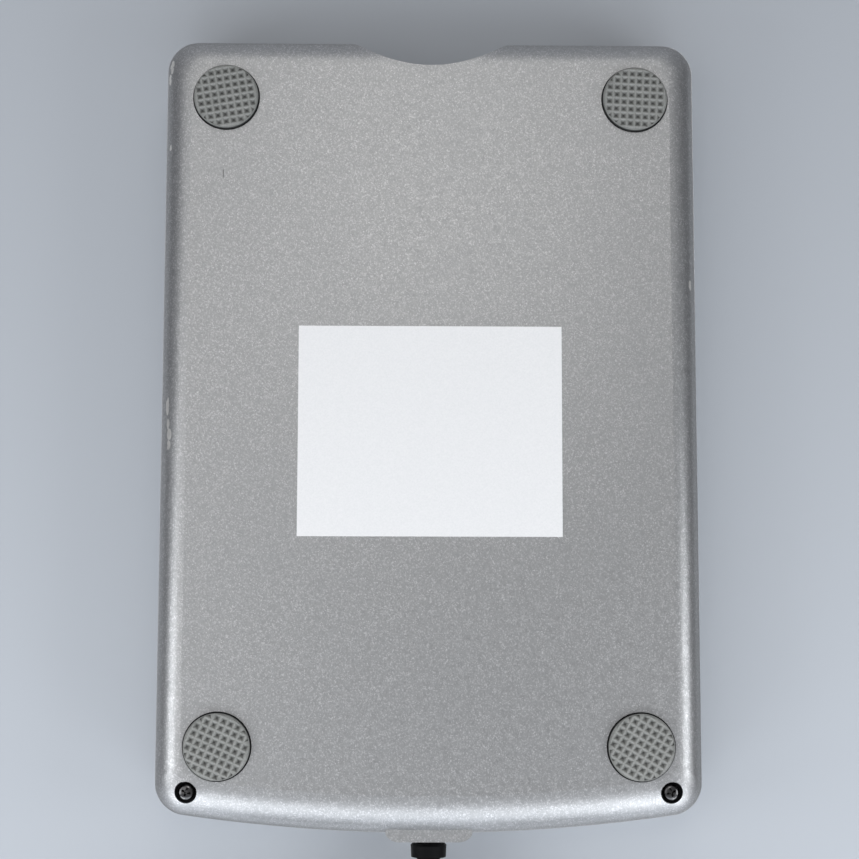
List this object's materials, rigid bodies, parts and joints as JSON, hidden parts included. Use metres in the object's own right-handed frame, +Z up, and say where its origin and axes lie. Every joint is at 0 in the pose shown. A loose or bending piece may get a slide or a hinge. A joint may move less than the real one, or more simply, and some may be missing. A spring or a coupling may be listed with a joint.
{
  "type": "external floppy disk drive",
  "caption": "Slim external drive for 3.5 inch floppy disks, in a rounded silver case on rubber feet, with a finger notch and disk slot in front and a coiled cord behind.",
  "frame": {"origin": "on the surface that the feet stand on, under the middle of the case, without its cord", "axes": "+X to the right as seen from the front, -Y towards the disk slot, +Z up"},
  "size_m": [0.1034, 0.2309, 0.0192],
  "materials": {
    "silver_plastic": "silver paint with fine flake over moulded plastic",
    "dark_plastic": "fine moulded texture",
    "foot_rubber": "matt, with a pyramid tread",
    "bare_label": "slightly glossy white film",
    "black_screw": "black oxide",
    "plated_screw": "zinc plate",
    "zinc_steel": "zinc plate",
    "clear_plastic": "clear",
    "white_plastic": "moulded",
    "green_board": "solder resist",
    "core_steel": "laminated",
    "copper_wire": "enamelled wire",
    "bronze": "sintered",
    "ground_steel": "ground",
    "carriage_plastic": "moulded",
    "head_ceramic": "polished",
    "spring_steel": "plain wire",
    "ribbon_plastic": "flat cable",
    "cord_jacket": "satin jacket",
    "plug_metal": "tin plate"
  },
  "bodies": {
    "case": {"bottom_cover": "silver_plastic", "top_cover": "silver_plastic", "front_bezel": "dark_plastic", "front_left_foot": "foot_rubber", "front_right_foot": "foot_rubber", "rear_left_foot": "foot_rubber", "rear_right_foot": "foot_rubber", "blank_label": "bare_label", "case_screws": "black_screw", "inner_screws": "plated_screw", "drive_frame": "zinc_steel", "drive_lid": "zinc_steel", "slide_rivets": "plated_screw", "light_pipe": "clear_plastic", "indicator_lamp": "clear_plastic", "switch_board": "green_board", "switch_bodies": "dark_plastic", "motor_board": "green_board", "stator_core": "core_steel", "stator_coils": "copper_wire", "spindle_bearing": "bronze", "guide_rods": "ground_steel", "rod_clips": "plated_screw", "stepper_motor": "core_steel", "stepper_bracket": "zinc_steel", "lever_post": "plated_screw", "lever_spring": "spring_steel", "eject_springs": "spring_steel", "control_board": "green_board", "usb_board": "green_board", "drive_ribbon": "ribbon_plastic", "lead_tail": "cord_jacket", "strain_relief": "cord_jacket", "cord_run": "cord_jacket", "cord_coil": "cord_jacket", "cord_end": "cord_jacket", "plug_grip": "cord_jacket", "plug_shell": "plug_metal"},
    "slider": {"eject_slider": "zinc_steel", "eject_button": "dark_plastic"},
    "holder": {"disk_holder": "zinc_steel"},
    "flap": {"dust_flap": "dark_plastic"},
    "density_switch": {"density_plunger": "white_plastic"},
    "disk_switch": {"disk_in_plunger": "white_plastic"},
    "protect_switch": {"write_protect_plunger": "white_plastic"},
    "spindle": {"rotor": "zinc_steel", "rotor_magnet": "core_steel", "chuck": "zinc_steel", "spindle_shaft": "ground_steel"},
    "pin": {"drive_pin": "ground_steel"},
    "carriage": {"head_carriage": "carriage_plastic", "lower_head": "head_ceramic", "arm_hinge_pin": "ground_steel", "screw_follower": "carriage_plastic", "arm_spring": "spring_steel"},
    "arm": {"upper_arm": "carriage_plastic", "upper_head": "head_ceramic"},
    "screw": {"lead_screw": "ground_steel"},
    "lever": {"shutter_lever": "zinc_steel"}
  },
  "joints": [
    {"name": "eject_slide", "type": "slide", "parent": "case", "child": "slider", "axis": [0, -1, 0], "range_m": [0, 0.005], "deforming": ["eject_springs"]},
    {"name": "holder_lift", "type": "slide", "parent": "case", "child": "holder", "axis": [0, 0, 1], "range_m": [-0.0025, 0]},
    {"name": "flap_hinge", "type": "hinge", "parent": "case", "child": "flap", "pos_m": [0, -0.0679, 0.01575], "axis": [1, 0, 0], "range_deg": [0, 80], "stiffness_Nm_per_rad": 0.0002, "springref_deg": -5.73},
    {"name": "density_press", "type": "slide", "parent": "case", "child": "density_switch", "axis": [0, 0, -1], "range_m": [0, 0.001], "stiffness_N_per_m": 60, "springref_m": -0.0005},
    {"name": "disk_in_press", "type": "slide", "parent": "case", "child": "disk_switch", "axis": [0, 0, -1], "range_m": [0, 0.001], "stiffness_N_per_m": 60, "springref_m": -0.0005},
    {"name": "protect_press", "type": "slide", "parent": "case", "child": "protect_switch", "axis": [0, 0, -1], "range_m": [0, 0.001], "stiffness_N_per_m": 60, "springref_m": -0.0005},
    {"name": "spindle_spin", "type": "hinge", "parent": "case", "child": "spindle", "pos_m": [0, -0.016, 0.008], "axis": [0, 0, 1], "continuous": true},
    {"name": "pin_press", "type": "slide", "parent": "spindle", "child": "pin", "axis": [0, 0, -1], "range_m": [0, 0.0006], "stiffness_N_per_m": 80, "springref_m": -0.0004},
    {"name": "head_travel", "type": "slide", "parent": "case", "child": "carriage", "axis": [0, -1, 0], "range_m": [0, 0.0148]},
    {"name": "lead_screw_spin", "type": "hinge", "parent": "case", "child": "screw", "pos_m": [0.018, 0.04, 0.0102], "axis": [0, 1, 0], "range_deg": [0, 1421]},
    {"name": "arm_hinge", "type": "hinge", "parent": "carriage", "child": "arm", "pos_m": [0, 0.0515, 0.0122], "axis": [1, 0, 0], "range_deg": [0, 8.6], "deforming": ["arm_spring"]},
    {"name": "lever_swing", "type": "hinge", "parent": "case", "child": "lever", "pos_m": [-0.038, 0.038, 0.0116], "axis": [0, 0, 1], "range_deg": [0, 35.4], "stiffness_Nm_per_rad": 0.004, "springref_deg": -11.46, "deforming": ["lever_spring"]}
  ],
  "couplings": [
    {"joint": "holder_lift", "follows": "eject_slide", "ratio": -0.5},
    {"joint": "arm_hinge", "follows": "eject_slide", "rad_per_m": 30.017},
    {"joint": "lead_screw_spin", "follows": "head_travel", "rad_per_m": 1675.5}
  ]
}
